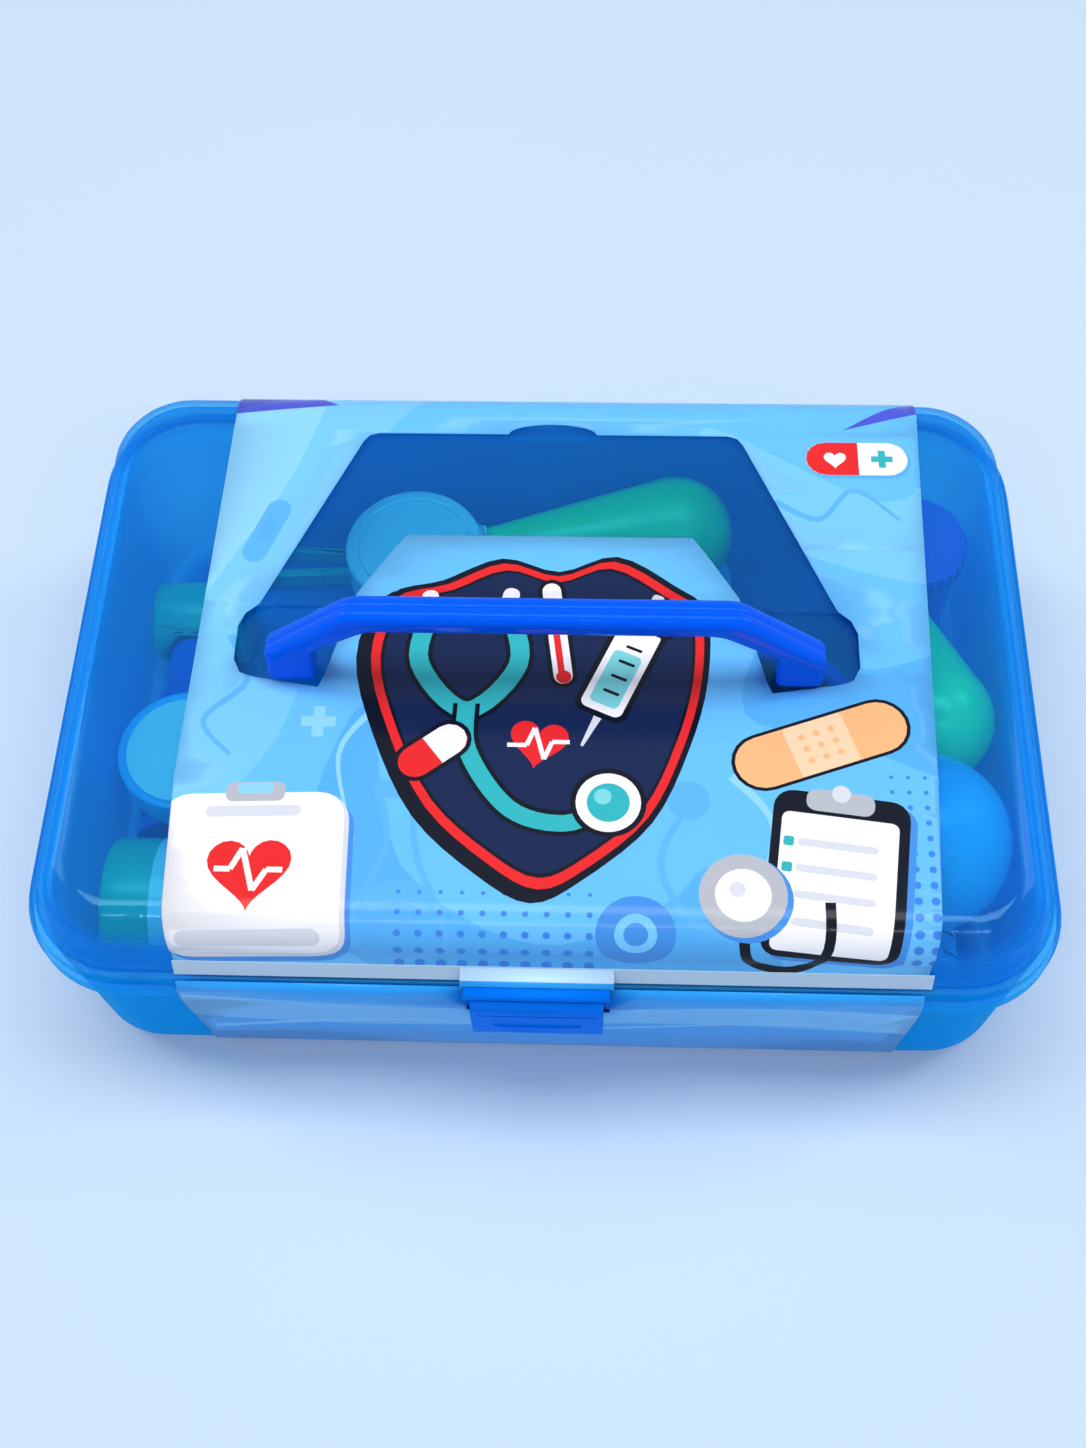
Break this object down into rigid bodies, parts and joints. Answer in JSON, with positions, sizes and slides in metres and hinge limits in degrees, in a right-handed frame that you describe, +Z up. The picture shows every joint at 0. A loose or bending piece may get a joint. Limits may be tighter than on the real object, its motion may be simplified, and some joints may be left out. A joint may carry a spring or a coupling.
{
  "type": "toy doctor case",
  "caption": "Low rectangular toy case: a blue tray under a clear hinged lid with a swing handle, a front latch and a printed film sleeve, filled with toy medical instruments.",
  "frame": {"origin": "centre of the closed case on the surface that it stands on", "axes": "+X to the right along the case's width, +Y from the latch to the hinges, +Z up"},
  "size_m": [0.2658, 0.1928, 0.11],
  "materials": {
    "tray_blue": "translucent blue injection-moulded polypropylene",
    "lid_clear_blue": "clear blue-tinted polystyrene, glossy",
    "trim_blue": "opaque saturated blue moulded plastic, glossy",
    "printed_film": "glossy printed film",
    "seam_tape": "clear adhesive tape",
    "toy_green": "green moulded plastic",
    "toy_teal": "teal moulded plastic",
    "toy_purple": "purple moulded plastic",
    "toy_sky": "sky blue moulded plastic",
    "toy_navy": "dark blue moulded plastic",
    "toy_red": "red moulded plastic",
    "toy_white": "white moulded plastic",
    "toy_clear": "clear pale blue moulded plastic"
  },
  "bodies": {
    "tray": {"tray": "tray_blue", "hinge_pins": "trim_blue", "sleeve_lower": "printed_film", "otoscope_handle": "toy_green", "otoscope_head": "toy_clear", "otoscope_lens": "toy_clear", "otoscope_cone": "toy_teal", "pump_bulb": "toy_sky", "pump_valve": "toy_white", "bulb_aspirator": "toy_green", "syringe_barrel": "toy_sky", "syringe_cap": "toy_red", "pill_bottle": "toy_teal", "pill_cap": "toy_white", "medicine_bottle": "toy_sky", "medicine_cap": "toy_white", "salve_jar": "toy_purple", "salve_lid": "toy_purple", "hammer_grip": "toy_navy", "hammer_head": "toy_teal", "gauge_case": "toy_green", "gauge_dial": "toy_white", "gauge_needle": "toy_red", "steth_yoke": "trim_blue", "steth_ear_tips": "toy_white", "steth_chest_piece": "toy_sky", "steth_diaphragm": "toy_white", "thermometer": "toy_white", "thermometer_scale": "toy_red", "tweezers": "toy_teal"},
    "lid": {"lid": "lid_clear_blue", "latch_pin": "trim_blue", "sleeve_upper": "printed_film", "seam_tape": "seam_tape"},
    "handle": {"handle": "trim_blue"},
    "latch": {"latch": "trim_blue"},
    "plunger": {"syringe_plunger": "toy_white", "syringe_seal": "toy_navy"}
  },
  "joints": [
    {"name": "lid_hinge", "type": "hinge", "parent": "tray", "child": "lid", "pos_m": [0, 0.0936, 0.0582], "axis": [-1, 0, 0], "range_deg": [0, 105]},
    {"name": "handle_swing", "type": "hinge", "parent": "lid", "child": "handle", "pos_m": [0, -0.0095, 0.0833], "axis": [-1, 0, 0], "range_deg": [0, 85]},
    {"name": "latch_swing", "type": "hinge", "parent": "lid", "child": "latch", "pos_m": [0, -0.0933, 0.0603], "axis": [-1, 0, 0], "range_deg": [0, 65]},
    {"name": "plunger_slide", "type": "slide", "parent": "tray", "child": "plunger", "axis": [0, 1, 0], "range_m": [-0.018, 0.014]}
  ]
}
